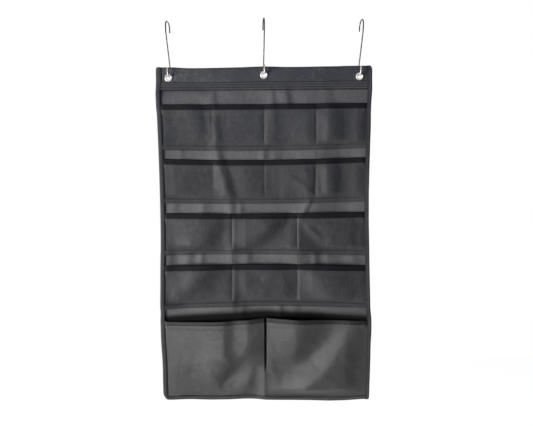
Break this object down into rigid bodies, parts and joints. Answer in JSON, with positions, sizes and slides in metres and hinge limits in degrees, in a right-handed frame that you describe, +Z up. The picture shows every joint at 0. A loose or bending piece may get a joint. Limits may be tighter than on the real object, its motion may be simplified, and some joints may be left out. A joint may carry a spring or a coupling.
{
  "type": "hanging pocket organizer",
  "caption": "Flat fabric hanging organizer for camping, with rows of mesh pockets over large open pockets, hung from S-hooks through eyelets in its top hem.",
  "frame": {"origin": "where a rail touches the inside of the centre hook's upper loop, in the middle plane of the panel", "axes": "+Z up, +X to the right as seen from the front, and the pockets face -Y"},
  "size_m": [0.5, 0.0431, 0.9109],
  "materials": {
    "woven_cloth": "charcoal black woven polyester with a soft sheen",
    "mesh_net": "fine black polyester netting",
    "binding_tape": "folded charcoal edge tape, stitched",
    "rim_tape": "matt near-black ribbed binding tape",
    "sewing_thread": "black polyester thread",
    "nickel_plate": "bright nickel plating",
    "bright_wire": "bright plated steel wire"
  },
  "bodies": {
    "panel": {"back_panel": "woven_cloth", "top_hem": "woven_cloth", "header_tape": "binding_tape", "binding_left": "binding_tape", "binding_right": "binding_tape", "binding_bottom": "binding_tape", "mesh_row_1": "mesh_net", "rim_tape_row_1": "rim_tape", "foot_tape_row_1": "binding_tape", "stitching_row_1_seam_1": "sewing_thread", "stitching_row_1_seam_2": "sewing_thread", "stitching_row_1_seam_3": "sewing_thread", "mesh_row_2": "mesh_net", "rim_tape_row_2": "rim_tape", "foot_tape_row_2": "binding_tape", "stitching_row_2_seam_1": "sewing_thread", "stitching_row_2_seam_2": "sewing_thread", "stitching_row_2_seam_3": "sewing_thread", "mesh_row_3": "mesh_net", "rim_tape_row_3": "rim_tape", "foot_tape_row_3": "binding_tape", "stitching_row_3_seam_1": "sewing_thread", "stitching_row_3_seam_2": "sewing_thread", "mesh_row_4": "mesh_net", "rim_tape_row_4": "rim_tape", "foot_tape_row_4": "binding_tape", "stitching_row_4_seam_1": "sewing_thread", "stitching_row_4_seam_2": "sewing_thread", "large_pocket_left": "woven_cloth", "large_rim_left": "woven_cloth", "stitching_large_left": "sewing_thread", "large_pocket_right": "woven_cloth", "large_rim_right": "woven_cloth", "stitching_large_right": "sewing_thread", "eyelet_left": "nickel_plate", "eyelet_washer_left": "nickel_plate", "eyelet_centre": "nickel_plate", "eyelet_washer_centre": "nickel_plate", "eyelet_right": "nickel_plate", "eyelet_washer_right": "nickel_plate"},
    "hook_left": {"hook_left": "bright_wire"},
    "hook_centre": {"hook_centre": "bright_wire"},
    "hook_right": {"hook_right": "bright_wire"}
  },
  "joints": [
    {"name": "hook_left_swing", "type": "hinge", "parent": "panel", "child": "hook_left", "pos_m": [-0.2233, 0, -0.1329], "axis": [0, 1, 0], "range_deg": [-40, 40]},
    {"name": "hook_centre_swing", "type": "hinge", "parent": "panel", "child": "hook_centre", "pos_m": [0, 0, -0.1279], "axis": [0, 1, 0], "range_deg": [-40, 40]},
    {"name": "hook_right_swing", "type": "hinge", "parent": "panel", "child": "hook_right", "pos_m": [0.2233, 0, -0.1329], "axis": [0, 1, 0], "range_deg": [-40, 40]}
  ]
}
